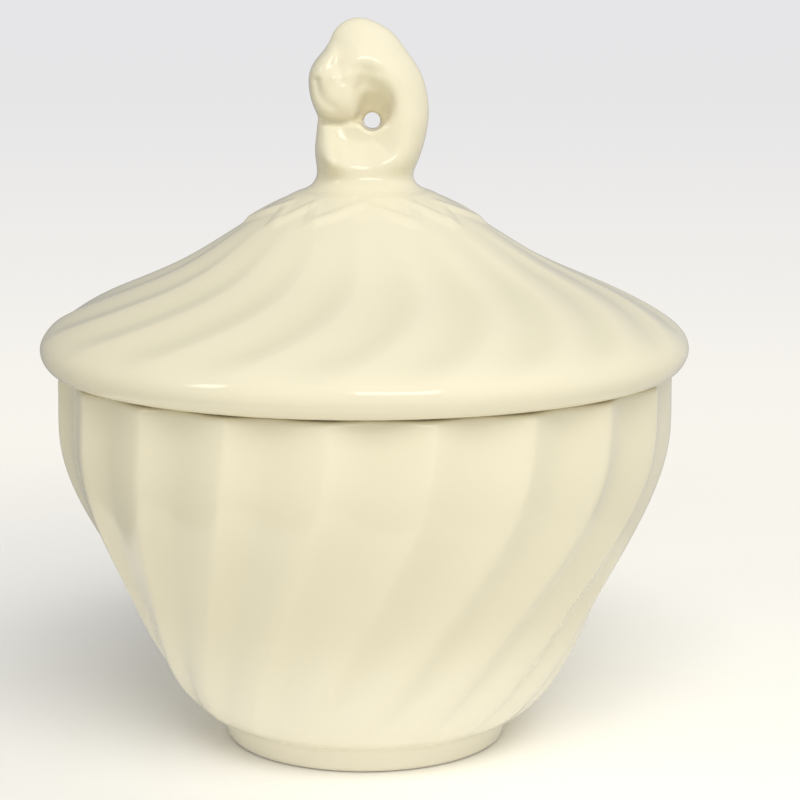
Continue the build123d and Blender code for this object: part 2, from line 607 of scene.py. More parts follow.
    def turn(
        self, name: str, outline: Stretch, flutes: Fluting, glaze: bpy.types.Material
    ) -> bpy.types.Object:
        """Make one turned piece.

        Args:
            name: Name of the piece.
            outline: Its whole outline, from the axis round to the axis.
            flutes: How its flutes are laid out.
            glaze: The material that it wears.

        Returns:
            The piece, with a plain mesh.
        """
        mesh = bpy.data.meshes.new(name)
        rows = [(radius * MM, 0.0, height * MM) for radius, height in outline.line]
        mesh.from_pydata(rows, [], [])
        store_mark(mesh, Mark.FLUTE_DEPTH, outline.depth * MM)
        store_mark(mesh, Mark.RIDGE_ANGLE, np.radians(outline.ridge))
        store_mark(mesh, Mark.SOFTNESS, outline.softness)
        piece = add_object(name, mesh)
        modifier = piece.modifiers.new("flutes", "NODES")
        modifier.node_group = self.tree
        for label, value in (
            ("Rows", len(rows)),
            ("Flutes", flutes.count),
            ("Columns per Flute", flutes.columns),
            ("Ridge Rounding", flutes.rounding),
            ("Lean", flutes.lean),
            ("Full Depth", flutes.depth * MM),
            ("Glaze", glaze),
        ):
            modifier[self.inputs[label]] = value
        evaluated = piece.evaluated_get(bpy.context.evaluated_depsgraph_get())
        turned = bpy.data.meshes.new_from_object(evaluated)
        piece.modifiers.remove(modifier)
        piece.data = turned
        bpy.data.meshes.remove(mesh)
        turned.name = name
        work = bmesh.new()
        work.from_mesh(turned)
        write_closed(work, turned)
        return piece


@dataclass(frozen=True)
class CreamGlaze:
    """Glossy cream glaze over pale earthenware, thicker in the hollows and darkened there with
    painted shade.

    Low down it is paler, as glaze grown thinner and as painted bounce light from the floor.

    Attributes:
        thin_and_floor_lit: Colour where the glaze has run thinner, made paler by painted bounce light
            from the floor.
        cream: Colour of the glaze on open surfaces.
        pooled_and_shaded: Colour where glaze gathers in a hollow, also standing for painted shade
            there.
        speck: Colour of the few pinhead specks.
        clay: Colour of the bare clay under the foot.
        floor_light_heights: Heights between which the glaze grows thinner and the painted bounce
            light grows, from the upper to the lower.
        dry_height: How far up the foot is wiped clean of glaze.
        hollow_shade_and_pooling: How much a hollow gathers glaze and painted shade.
        cloud_pooling: How much the glaze gathers by chance.
        shade_and_pooling_loss: How much is taken off both, so that ridges stay clear of gathered
            glaze and painted shade.
        cloud_scale: How many of those chance clouds there are to a metre.
        cloud_detail: How finely they are broken up.
        gloss: Roughness of the glaze.
        cloud_roughness: How much rougher it is in a cloud.
        clay_roughness: How much rougher the bare clay is.
        wave_scale: How many faint waves of the surface there are to a metre.
        wave_detail: How finely they are broken up.
        wave_height: Height of those waves.
        waviness: How strongly they show.
        bending: Refractive index of the glaze.
        speck_scale: How many places for a speck there are along a metre.
        speck_rarity: Share of those places that stay clear.
        speck_size: Radius of a speck, as a share of the space round it.
        speck_strength: How opaque a speck is.
    """

    thin_and_floor_lit: Triple = (0.93, 0.875, 0.70)
    cream: Triple = (0.80, 0.735, 0.54)
    pooled_and_shaded: Triple = (0.75, 0.695, 0.50)
    speck: Triple = (0.22, 0.17, 0.10)
    clay: Triple = (0.80, 0.74, 0.62)
    floor_light_heights: Pair = (28.0, 5.0)
    dry_height: float = 0.25
    hollow_shade_and_pooling: float = 0.6
    cloud_pooling: float = 0.6
    shade_and_pooling_loss: float = 0.2
    cloud_scale: float = 45.0
    cloud_detail: float = 3.0
    gloss: float = 0.07
    cloud_roughness: float = 0.04
    clay_roughness: float = 0.6
    wave_scale: float = 160.0
    wave_detail: float = 1.0
    wave_height: float = 0.4
    waviness: float = 0.02
    bending: float = 1.6
    speck_scale: float = 110.0
    speck_rarity: float = 0.93
    speck_size: float = 0.028
    speck_strength: float = 0.7

    def material(self) -> bpy.types.Material:
        """Build the glaze.

        Returns:
            The material, which reads how hollow a piece is from the piece's own points.
        """
        made = bpy.data.materials.new("cream_glaze")
        made.use_nodes = True
        graph = Graph(made.node_tree)
        place = graph.node("ShaderNodeTexCoord").outputs["Object"]
        height = graph.part(place, "Z") / MM
        mark = graph.node("ShaderNodeAttribute", {"attribute_name": Mark.HOLLOW.value})
        hollow = graph.out(mark, "Fac")
        cloud = graph.noise(place, self.cloud_scale, self.cloud_detail)
        # Hollows gather glaze and painted shade; chance clouds gather glaze alone.
        pooling_and_shade = hollow * self.hollow_shade_and_pooling + cloud * self.cloud_pooling - self.shade_and_pooling_loss
        dry = graph.maths("LESS_THAN", height, self.dry_height)
        colour = graph.blend(pooling_and_shade, self.cream, self.pooled_and_shaded)
        # Paler towards the foot, as glaze grown thinner and as painted bounce light from the floor.
        colour = graph.blend(graph.step(height, self.floor_light_heights), colour, self.thin_and_floor_lit)
        colour = graph.blend(self._specks(graph, place), colour, self.speck)
        colour = graph.blend(dry, colour, self.clay)
        bump = graph.node(
            "ShaderNodeBump",
            inputs={
                "Strength": self.waviness,
                "Distance": self.wave_height * MM,
                "Height": graph.noise(place, self.wave_scale, self.wave_detail),
            },
        )
        shader = graph.node(
            "ShaderNodeBsdfPrincipled",
            inputs={
                "Base Color": colour,
                "Roughness": self.gloss + cloud * self.cloud_roughness + dry * self.clay_roughness,
                "Normal": bump.outputs["Normal"],
                "IOR": self.bending,
            },
        )
        graph.node("ShaderNodeOutputMaterial", inputs={"Surface": shader.outputs["BSDF"]})
        return made

    def _specks(self, graph: Graph, place: bpy.types.NodeSocket) -> Value:
        """Mask the few tiny dark specks in the glaze.

        Args:
            graph: The glaze under construction.
            place: The coordinates that the specks lie on.

        Returns:
            How opaque a speck is at each point.
        """
        cells = graph.node(
            "ShaderNodeTexVoronoi", inputs={"Vector": place, "Scale": self.speck_scale}
        )
        chance = graph.node("ShaderNodeSeparateColor", inputs={0: cells.outputs["Color"]})
        chosen = graph.maths("GREATER_THAN", graph.out(chance), self.speck_rarity)
        near = graph.maths("LESS_THAN", graph.out(cells, "Distance"), self.speck_size)
        return chosen * near * self.speck_strength


@dataclass
class Pot:
    """The bowl, from its foot ring to its rolled lip.

    Its wall passes through the rim, belly, hip, waist and heel, from the top down.
    A drop is measured down from the pot's top, and a height up from the table.

    Attributes:
        heel_pull: How far the wall keeps to the heel's slope as it leaves the foot.
        heel_fill: How much higher the inside lies at the heel, where the clay is thicker.
        foot_flare: How much wider the foot is at its top than on the table.
        foot_cove: How far out from the foot the wall starts, past a rounded corner.
        first_ridge: Angle of the first ridge at the top, in degrees.
        twist: How far a ridge turns back on its way down, in degrees.
        twist_ease: 1 for an even twist; more for one that is quicker towards the foot.
        heel_fade: Share of the wall over which the flutes die away at the heel.
        crisp_from: Shares of the wall between which the ridges become crisp, upwards.
        crispness: How crisp the ridges are above that, from 0 to 1.
        wall_rows: Rows of points up the outside.
        inside_rows: Rows of points down the inside.
    """

    height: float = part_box("pot")[1].z / MM
    rim_radius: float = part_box("pot")[1].x / MM
    lip_height: float = 2.2
    lip_round: float = 2.0
    mouth_round: float = 0.8
    belly_radius: float = 47.4
    belly_drop: float = 10.0
    hip_radius: float = 43.0
    hip_drop: float = 23.4
    waist_radius: float = 36.8
    waist_height: float = 23.0
    heel_radius: float = 30.9
    heel_height: float = 11.0
    heel_slope: float = 0.3
    heel_pull: float = 0.96
    heel_fill: float = 1.5
    foot_radius: float = 21.8
    foot_height: float = 4.0
    foot_flare: float = 1.3
    foot_ring_width: float = 3.2
    foot_recess: float = 2.4
    foot_edge_round: float = 0.9
    foot_cove: float = 1.8
    wall: float = 4.2
    floor_thickness: float = 4.5
    first_ridge: float = 12.6
    twist: float = 41.0
    twist_ease: float = 2.0
    heel_fade: float = 0.25
    crisp_from: Pair = (0.15, 0.55)
    crispness: float = 0.9
    fluting: Fluting = Fluting(depth=1.3, rounding=0.1, lean=0.1)
    wall_rows: int = 120
    inside_rows: int = 46

    @property
    def mouth_radius(self) -> float:
        """Radius of the opening."""
        return self.rim_radius - self.wall

    @property
    def throat(self) -> Pair:
        """Where the lip ends and the wall inside begins."""
        return self.mouth_radius, self.height - 2 * self.mouth_round

    def ridge(self, height: Array) -> Array:
        """Angle of the first ridge at a height, in degrees: it twists faster towards the foot."""
        fall = np.clip((self.height - height) / self.height, 0.0, 1.0)
        return self.first_ridge - self.twist * fall**self.twist_ease

    def fluted_wall(self) -> Stretch:
        """Draw the outside.

        Returns:
            The wall, from the top of the foot to the lip.
        """
        line = smooth_line(
            (
                (self.foot_radius + self.foot_flare, self.foot_height),
                (self.heel_radius, self.heel_height),
                (self.waist_radius, self.waist_height),
                (self.hip_radius, self.height - self.hip_drop),
                (self.belly_radius, self.height - self.belly_drop),
                (self.rim_radius, self.height - self.lip_height),
            ),
            count=self.wall_rows,
            start=(self.heel_pull, self.heel_pull * self.heel_slope),
            end=(0.0, 1.0),
        )
        share = np.linspace(0.0, 1.0, len(line))
        fade = smooth_step(share, 0.0, self.heel_fade)
        depth = fade * self.fluting.depth * line[:, 0] / self.rim_radius
        softness = 1 - self.crispness * smooth_step(share, *self.crisp_from)
        return Stretch(line, depth, self.ridge(line[:, 1]), softness)

    def lip(self, wall_top: Stretch) -> Stretch:
        """Draw the lip, on whose outer corner the flutes of the wall die away.

        Args:
            wall_top: The last row of the wall outside.

        Returns:
            The lip, as far as the wall inside.
        """
        middle = (self.mouth_radius + self.wall / 2, self.height)
        outer = round_corners(
            (tuple(wall_top.line[0]), (self.rim_radius, self.height), middle), self.lip_round
        )
        inner = round_corners(
            (middle, (self.mouth_radius, self.height), self.throat), self.mouth_round
        )
        line = np.concatenate([outer, inner[1:]])
        fade = np.clip((line[:, 0] - self.rim_radius) / self.lip_round + 1, 0.0, 1.0)
        rows = np.ones(len(line))
        return Stretch(line, fade * wall_top.depth, rows * wall_top.ridge, rows * wall_top.softness)

    def outline(self) -> Stretch:
        """Draw the whole pot.

        Returns:
            The outline, from under the foot, over the lip and down to the floor inside.
        """
        outside = self.fluted_wall()
        cove_end = int(np.argmax(outside.line[:, 0] > outside.line[0, 0] + self.foot_cove))
        inner_foot = self.foot_radius - self.foot_ring_width
        foot = round_corners(
            (
                (0.0, self.foot_recess),
                (inner_foot, self.foot_recess),
                (inner_foot, 0.0),
                (self.foot_radius, 0.0),
                tuple(outside.line[0]),
                tuple(outside.line[cove_end]),
            ),
            self.foot_edge_round,
        )
        outside = outside.after(cove_end)
        inside = smooth_line(
            (
                self.throat,
                (self.belly_radius - self.wall, self.height - self.belly_drop),
                (self.hip_radius - self.wall, self.height - self.hip_drop),
                (self.waist_radius - self.wall, self.waist_height),
                (self.heel_radius - self.wall, self.heel_height + self.heel_fill),
                (0.0, self.foot_height + self.floor_thickness),
            ),
            count=self.inside_rows,
            start=(0.0, -1.0),
            end=(-1.0, 0.0),
        )
        return Stretch.joined(
            (
                Stretch.plain(foot, float(outside.ridge[0])),
                outside,
                self.lip(outside.after(-1)),
                Stretch.plain(inside, float(outside.ridge[-1])),
            )
        )

    def build(self, turning: FlutedTurning, glaze: bpy.types.Material) -> bpy.types.Object:
        """Make the pot.

        Args:
            turning: The tree that turns and flutes an outline.
            glaze: The material that it wears.

        Returns:
            The pot, riding on its body in place of the CAD node.
        """
        piece = turning.turn("fluted_pot", self.outline(), self.fluting, glaze)
        return place_piece(piece, Body.POT, "pot")


@dataclass(frozen=True)
class LeafCollar:
    """A ring of shallow leaves round the lid's neck, alike on all four quarters.

    Attributes:
        edge_angles: Angles from the front of each notch and tip in turn, in degrees.
        edge_radii: Radii of the same notches and tips.
        rise: How far the leaves stand out of the lid.
        bevel: Width of a leaf's sloping edge.
        cup: Share of the rise that is lost in the hollow of a leaf.
        cup_start: Where that hollow begins, as a share of the bevel.
        cup_width: How far from the edge it is at its full depth.
        blur: How far to each side the glaze softens the leaves, in degrees.
        blur_samples: How many places the softening looks at.
    """

    edge_angles: tuple[float, ...] = (0.0, 28.0, 36.0, 52.0, 62.0, 90.0)
    edge_radii: tuple[float, ...] = (13.2, 18.0, 13.4, 19.0, 14.2, 19.4)
    rise: float = 0.55
    bevel: float = 1.8
    cup: float = 0.65
    cup_start: float = 0.7
    cup_width: float = 3.4
    blur: float = 3.5
    blur_samples: int = 7

    def relief(self, radius: Array, angle: Array) -> Array:
        """Height of the leaves above the lid, with the crispness lost under the glaze."""
        shifts = np.linspace(-self.blur, self.blur, self.blur_samples)
        return np.mean([self._carved(radius, angle + shift) for shift in shifts], axis=0)

    def _carved(self, radius: Array, angle: Array) -> Array:
        """Height of the leaves as they were carved.

        Args:
            radius: Distance of each point from the axis.
            angle: Angle of each point from the front, in degrees.

        Returns:
            The height at each point.
        """
        folded = np.abs((angle + 180.0) % 360.0 - 180.0)
        quarter = np.minimum(folded, 180.0 - folded)
        inside = np.interp(quarter, self.edge_angles, self.edge_radii) - radius
        raised = smooth_step(inside, 0.0, self.bevel)
        cupped = smooth_step(inside, self.bevel * self.cup_start, self.cup_width)
        return self.rise * raised * (1 - self.cup * cupped)


@dataclass
class Lid:
    """The domed cover, from its flange to the crown under the finial.

    Its outside passes through the edge, shoulder, slope, collar and neck, from the widest up.
    A rise is measured up from the seat, where the lid rests on the pot's lip.

    Attributes:
        edge_pull: How far the outside keeps upright as it leaves the widest point.
        groove_rise: How far the groove beside the seat is open.
        under_rise: How high the edge's underside lies, outside that groove.
        crown_slope: How steeply the outside arrives at the crown.
        crown_tuck: Width of the step that hides the crown's edge under the finial.
        dome_slope: How steeply the hollow comes down to the flange.
        first_ridge: Angle of the first ridge where it turns back, in degrees.
        twist: How fast it swings away from there, in degrees.
        twist_crest: Where it turns back, as a share of the way from the collar to the edge.
        edge_fade: Share of the outside over which the flutes die away at the edge.
        collar_fade: Share of it, from the crown, where the flutes reach their full depth.
        collar_plain: Share of it, from the crown, that has no flutes.
        softness: Shape of the flutes, from 0 for sharp ridges to 1 for a wave.
        least_steepness: Where the lid is flatter than this, the flutes get no deeper.
        leaf_margin: How far below the slope the leaves may reach.
        leaf_facing: How far upwards a surface has to face to carry leaves.
        leaf_fade: Distance from the neck over which the leaves begin.
        slope_rows: Rows of points up the outside.
        dome_rows: Rows of points in the hollow.
        roll_rows: Rows of points round the edge.
    """

    seat_height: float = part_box("pot")[1].z / MM
    crown_height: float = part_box("finial")[0].z / MM
    radius: float = 50.0
    edge_rise: float = 3.6
    edge_pull: float = 0.9
    seat_radius: float = 44.7
    groove_radius: float = 45.7
    groove_rise: float = 0.3
    under_radius: float = 47.7
    under_rise: float = 0.42
    shoulder_radius: float = 44.4
    shoulder_rise: float = 9.2
    slope_radius: float = 27.2
    slope_rise: float = 17.2
    collar_radius: float = 15.6
    collar_rise: float = 24.2
    neck_radius: float = 9.2
    crown_slope: float = 0.5
    crown_tuck: float = 0.1
    wall: float = 4.8
    dome_slope: float = 2.0
    flange_depth: float = 5.0
    flange_radius: float = 42.3
    flange_wall: float = 3.4
    flange_round: float = 0.8
    first_ridge: float = 17.2
    twist: float = 44.0
    twist_crest: float = 0.3
    edge_fade: float = 0.16
    collar_fade: float = 0.5
    collar_plain: float = 0.08
    softness: float = 0.3
    least_steepness: float = 0.2
    fluting: Fluting = Fluting(depth=0.46, rounding=0.2, lean=-0.14)
    collar: LeafCollar = LeafCollar()
    leaf_margin: float = 1.0
    leaf_facing: float = 0.1
    leaf_fade: float = 1.5
    slope_rows: int = 155
    dome_rows: int = 30
    roll_rows: int = 22

    @property
    def edge(self) -> Pair:
        """The widest point."""
        return self.radius, self.seat_height + self.edge_rise

    @property
    def seat(self) -> Pair:
        """Where the flat seat ends and the groove beside it begins."""
        return self.seat_radius, self.seat_height

    @property
    def hollow_edge(self) -> Pair:
        """Where the hollow underneath meets the flange."""
        return self.flange_radius - self.flange_wall, self.seat_height + self.edge_rise

    def ridge(self, radius: Array) -> Array:
        """Angle of the first ridge at a radius, in degrees: it swings one way and then back."""
        outward = (radius - self.collar_radius) / (self.radius - self.collar_radius)
        return self.first_ridge - self.twist * (outward - self.twist_crest) ** 2

    def fluted_slope(self) -> Stretch:
        """Draw the outside.

        Returns:
            The outside, from the widest point of the edge up to the crown.
        """
        line = smooth_line(
            (
                self.edge,
                (self.shoulder_radius, self.seat_height + self.shoulder_rise),
                (self.slope_radius, self.seat_height + self.slope_rise),
                (self.collar_radius, self.seat_height + self.collar_rise),
                (self.neck_radius, self.crown_height),
            ),
            count=self.slope_rows,
            start=(0.0, self.edge_pull),
            end=(-1.0, self.crown_slope),
        )
        share = np.linspace(0.0, 1.0, len(line))
        step = np.gradient(line, axis=0)
        steepness = np.maximum(step[:, 1] / np.linalg.norm(step, axis=1), self.least_steepness)
        fade = smooth_step(share, 0.0, self.edge_fade)
        fade *= smooth_step(1 - share, self.collar_plain, self.collar_fade)
        depth = fade * self.fluting.depth * line[:, 0] / self.radius / steepness
        return Stretch(line, depth, self.ridge(line[:, 0]), np.full(len(line), self.softness))

    def underside(self) -> Array:
        """Draw what lies under the lid.

        Returns:
            The line from the middle of the hollow, round the flange and out to the widest point.
        """
        dome = smooth_line(
            (
                (0.0, self.crown_height - self.wall),
                (self.collar_radius, self.seat_height + self.collar_rise - self.wall),
                (self.slope_radius, self.seat_height + self.slope_rise - self.wall),
                self.hollow_edge,
            ),
            count=self.dome_rows,
            start=(1.0, 0.0),
            end=(1.0 / self.dome_slope, -1.0),
        )
        flange_bottom = self.seat_height - self.flange_depth
        flange = round_corners(
            (
                self.hollow_edge,
                (self.hollow_edge[0], flange_bottom),
                (self.flange_radius, flange_bottom),
                (self.flange_radius, self.seat_height),
                self.seat,
            ),
            self.flange_round,
        )
        roll = smooth_line(
            (
                self.seat,
                (self.groove_radius, self.seat_height + self.groove_rise),
                (self.under_radius, self.seat_height + self.under_rise),
                self.edge,
            ),
            count=self.roll_rows,
            start=(1.0, 0.0),
            end=(0.0, 1.0),
        )
        return np.concatenate([dome, flange[1:], roll[1:]])

    def outline(self) -> Stretch:
        """Draw the whole lid.

        Returns:
            The outline, from the middle of the underside round to the middle of the crown.
        """
        outside = self.fluted_slope()
        tucked = self.neck_radius - self.crown_tuck
        crown = np.array(
            (
                tuple(outside.line[-1]),
                (tucked, self.crown_height + self.crown_tuck * self.crown_slope),
                (tucked - self.crown_tuck, self.crown_height),
                (0.0, self.crown_height),
            )
        )
        return Stretch.joined(
            (
                Stretch.plain(self.underside(), float(outside.ridge[0])),
                outside,
                Stretch.plain(crown, float(outside.ridge[-1])),
            )
        )

    def raise_leaves(self, mesh: bpy.types.Mesh) -> None:
        """Lift the leaf collar out of the lid's upper side.

        Args:
            mesh: The turned lid.
        """
        places = read_points(mesh)
        normals = np.empty(places.size, np.float32)
        mesh.vertex_normals.foreach_get("vector", normals)
        normals = normals.reshape(-1, 3)
        radius = np.hypot(places[:, 0], places[:, 1])
        angle = np.degrees(np.arctan2(places[:, 0], -places[:, 1]))
        lowest = self.seat_height + self.slope_rise - self.leaf_margin
        outer = (places[:, 2] > lowest) & (normals[:, 2] > self.leaf_facing)
        fade = smooth_step(radius, self.neck_radius, self.neck_radius + self.leaf_fade)
        height = np.where(outer, self.collar.relief(radius, angle) * fade, 0.0)
        places += normals * height[:, None]
        mesh.vertices.foreach_set("co", (places * MM).astype(np.float32).ravel())
        mesh.update()

    def build(self, turning: FlutedTurning, glaze: bpy.types.Material) -> bpy.types.Object:
        """Make the lid.

        Args:
            turning: The tree that turns and flutes an outline.
            glaze: The material that it wears.

        Returns:
            The lid, riding on its body in place of the CAD node.
        """
        piece = turning.turn("domed_lid", self.outline(), self.fluting, glaze)
        self.raise_leaves(piece.data)
        return place_piece(piece, Body.LID, "lid")


@dataclass(frozen=True)
class Roll:
    """A roll of clay.

    Attributes:
        line: Points (x, z, radius) along its middle.
        samples: Balls of clay for each of those points.
    """

    line: Line
    samples: int = 9

    def distance(self, x: Array, depth: Array, z: Array) -> Array:
        """Measure how far points lie outside the roll.

        Args:
            x: Places of the points across the pot.
            depth: Their distances from the middle plane.
            z: Their heights.

        Returns:
            The distance of each, negative inside.
        """
        nearest = np.full(np.broadcast(x, depth, z).shape, np.inf)
        depth_squared = depth**2
        for middle_x, middle_z, radius in smooth_line(self.line, self.samples * len(self.line)):
            reach = np.sqrt((x - middle_x) ** 2 + depth_squared + (z - middle_z) ** 2)
            np.minimum(nearest, reach - radius, out=nearest)
        return nearest


@dataclass(frozen=True)
class Lump:
    """A lump of clay, or the hollow that a round tool leaves.

    Attributes:
        middle: Where its middle is.
        radii: Half its width, depth and height.
        power: 2 for an ellipsoid; more for a blunter lump.
    """

    middle: Triple
    radii: Triple
    power: float = 2.0

    def distance(self, x: Array, depth: Array, z: Array) -> Array:
        """Measure how far points lie outside the lump.

        Args:
            x: Places of the points across the pot.
            depth: Their distances from the middle plane.
            z: Their heights.

        Returns:
            The distance of each, close to the true one near the surface, negative inside.
        """
        shares = [
            np.abs(place - middle) / radius
            for place, middle, radius in zip((x, depth, z), self.middle, self.radii)
        ]
        total = sum(share**self.power for share in shares)
        level = np.maximum(total, LEAST_LEVEL) ** (1 / self.power)
        steep = sum(
            (share ** (self.power - 1) / radius) ** 2 for share, radius in zip(shares, self.radii)
        )
        return (level - 1) * level ** (self.power - 1) / np.maximum(np.sqrt(steep), LEAST_SLOPE)


@dataclass(frozen=True)
class Groove:
    """A groove pressed into the finial's front and back.

    Attributes:
        line: Points (x, z, half width) along its middle.
        depth: How deep it is.
        samples: Presses of the tool for each of those points.
    """

    line: Line
    depth: float
    samples: int = 9

    def relief(self, x: Array, z: Array) -> Array:
        """Measure how deep the groove is.

        Args:
            x: Places of the points across the pot.
            z: Their heights.

        Returns:
            The depth at each point.
        """
        nearest = np.full(np.broadcast(x, z).shape, np.inf)
        for middle_x, middle_z, width in smooth_line(self.line, self.samples * len(self.line)):
            np.minimum(nearest, np.hypot(x - middle_x, z - middle_z) / width, out=nearest)
        return self.depth * np.exp(-(nearest**2))


@dataclass
class ScrollFinial:
    """The knob: a ring of clay that rises on the right, swells over the top and curls into a ball.

    Front and back are alike, as they come out of a two-part mould.
    A blend is the width over which two lumps of clay are smoothed together.

    Attributes:
        stump_heights: Heights at which the stump under the ring is measured.
        stump_widths: Half its width there.
        stump_depths: Half its depth there.
        square_heights: Heights between which the stump changes from round to squarish.
        square_powers: How square it is at those heights; 2 is round.
        depth_heights: Heights at which the ring's depth is measured.
        depth_scales: How much deeper than wide the ring is there.
        lean_places: Places across the pot at which a change of that depth is measured.
        low_leans: The change at those places, low on the ring.
        high_leans: The change at those places, high on the ring.
        lean_change: Heights between which low gives way to high.
        web: The web of clay that fills the ring.
        funnel: The dish that is pressed into the web, on both sides.
        funnel_lean: How far the dish leans down as it goes in.
        curl_depth: How much deeper than wide the curl is.
        relief_fade: Distances from the middle plane between which the grooves set in.
        voxel: Spacing of the grid on which the surface is found.
        band: How many voxels beyond the finial the grid reaches.
        nudge: How far apart distances are compared to find a slope.
        settle_rounds: How often the points are moved towards the true surface.
        least_steepness: The flattest slope that such a move believes.
        feeler: How far from the surface the search for nearby clay reaches, for gathered glaze and
            painted shade.
        pooling_and_shade: How strongly the clay that it finds darkens the glaze, as gathered glaze
            and painted shade.
    """

    seat_height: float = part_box("finial")[0].z / MM
    stump_heights: tuple[float, ...] = (86.4, 87.2, 88.3, 90.0, 93.0, 97.0)
    stump_widths: tuple[float, ...] = (9.2, 8.0, 7.4, 7.0, 6.5, 6.2)
    stump_depths: tuple[float, ...] = (9.2, 7.5, 6.2, 5.4, 4.3, 3.8)
    stump_top: float = 98.6
    stump_top_blend: float = 1.4
    stump_blend: float = 2.0
    square_heights: Pair = (86.4, 90.0)
    square_powers: Pair = (2.0, 2.4)
    ring: Roll = Roll(
        (
            (-5.3, 95.8, 1.5),
            (-5.2, 94.0, 1.85),
            (-4.5, 91.7, 2.5),
            (-2.2, 90.5, 2.7),
            (1.0, 90.3, 2.8),
            (3.7, 91.2, 3.1),
            (4.95, 92.0, 3.25),
            (5.45, 93.1, 3.4),
            (5.85, 95.1, 3.6),
            (6.1, 98.2, 3.76),
            (5.85, 100.2, 3.8),
            (5.3, 101.9, 3.9),
            (4.3, 103.6, 4.0),
            (2.8, 105.4, 4.1),
            (1.4, 106.9, 4.3),
            (-0.75, 107.85, 4.5),
        )
    )
    depth_heights: tuple[float, ...] = (88.0, 90.0, 93.0, 98.0, 103.0, 105.5, 108.0, 110.0, 112.4)
    depth_scales: tuple[float, ...] = (2.2, 2.1, 1.75, 1.45, 1.35, 1.22, 0.95, 0.75, 0.6)
    lean_places: tuple[float, ...] = (-8.0, -5.0, -2.0, 0.5, 3.0, 6.0, 10.0)
    low_leans: tuple[float, ...] = (1.65, 1.45, 1.08, 0.97, 0.95, 0.9, 0.8)
    high_leans: tuple[float, ...] = (0.8, 0.9, 1.02, 1.06, 1.0, 0.86, 0.7)
    lean_change: Pair = (96.0, 101.0)
    web: Lump = Lump(middle=(0.8, 0.0, 98.6), radii=(4.8, 4.4, 6.0))
    web_blend: float = 1.4
    funnel: Lump = Lump(middle=(1.35, 6.5, 97.1), radii=(3.2, 6.3, 3.3))
    funnel_lean: float = 0.5
    funnel_blend: float = 1.2
    ball: Lump = Lump(middle=(-4.0, 0.0, 101.5), radii=(3.6, 5.6, 4.25), power=3.0)
    bridge: Lump = Lump(middle=(-1.8, 0.0, 104.8), radii=(3.6, 5.2, 2.8))
    bridge_blend: float = 1.6
    curl: Roll = Roll(
        (
            (-4.7, 106.6, 1.6),
            (-5.7, 105.3, 1.75),
            (-6.6, 103.9, 1.7),
            (-7.0, 102.2, 1.45),
            (-6.7, 100.3, 1.35),
            (-5.8, 98.9, 1.3),
            (-4.2, 98.2, 1.2),
        )
    )
    curl_depth: float = 2.8
    curl_blend: float = 1.0
    lobe_blend: float = 1.3
    grooves: tuple[Groove, ...] = (
        Groove(
            (
                (-3.1, 102.9, 0.7),
                (-3.6, 103.9, 0.7),
                (-2.9, 104.8, 0.7),
                (-1.2, 105.0, 0.8),
                (1.0, 104.7, 0.9),
                (2.4, 104.3, 0.9),
            ),
            depth=0.15,
        ),
        Groove(
            ((-7.0, 103.0, 0.6), (-6.6, 101.2, 0.8), (-5.8, 100.0, 0.9), (-4.7, 99.3, 0.8)),
            depth=0.3,
        ),
        Groove(
            ((-7.4, 97.0, 0.6), (-5.2, 96.8, 0.6), (-2.8, 96.8, 0.6), (-0.8, 97.2, 0.6)),
            depth=0.5,
        ),
    )
    relief_fade: Pair = (1.0, 3.0)
    eye_middle: Pair = (-4.5, 103.6)
    eye_radius: float = 0.9
    eye_rise: float = 0.25
    hole_middle: Pair = (1.17, 96.75)
    hole_radius: float = 1.2
    hole_blend: float = 0.8
    voxel: float = 0.17
    band: int = 4
    nudge: float = 0.02
    settle_rounds: int = 2
    least_steepness: float = 0.2
    feeler: float = 1.2
    pooling_and_shade: float = 1.6

    def distance(self, x: Array, y: Array, z: Array) -> Array:
        """Measure how far points lie outside the scroll.

        Args:
            x: Places of the points across the pot.
            y: Their places from front to back.
            z: Their heights.

        Returns:
            The distance of each, negative inside the clay.
        """
        depth = np.abs(y)
        ring = self.ring.distance(x, depth / self._ring_scale(x, z), z)
        body = smooth_union(ring, self._stump(x, depth, z), self.stump_blend)
        body = smooth_union(body, self.web.distance(x, depth, z), self.web_blend)
        funnel = self.funnel.distance(x, depth, z - self.funnel_lean * depth)
        body = smooth_cut(body, funnel, self.funnel_blend)
        ball = self.ball.distance(x, depth, z)
        lobe = smooth_union(ball, self.bridge.distance(x, depth, z), self.bridge_blend)
        curl = self.curl.distance(x, depth / self.curl_depth, z)
        lobe = smooth_union(lobe, curl, self.curl_blend)
        body = smooth_union(body, lobe, self.lobe_blend)
        body = body + self._relief(x, z) * smooth_step(depth, *self.relief_fade)
        hole_x, hole_z = self.hole_middle
        hole = np.hypot(x - hole_x, z - hole_z) - self.hole_radius
        return smooth_cut(body, hole, self.hole_blend)

    def _ring_scale(self, x: Array, z: Array) -> Array:
        """Measure how much deeper than wide the ring is.

        Args:
            x: Places of the points across the pot.
            z: Their heights.

        Returns:
            The scale at each point.
        """
        low_lean = smooth_values(x, self.lean_places, self.low_leans)
        high_lean = smooth_values(x, self.lean_places, self.high_leans)
        lean = low_lean + (high_lean - low_lean) * smooth_step(z, *self.lean_change)
        return smooth_values(z, self.depth_heights, self.depth_scales) * lean

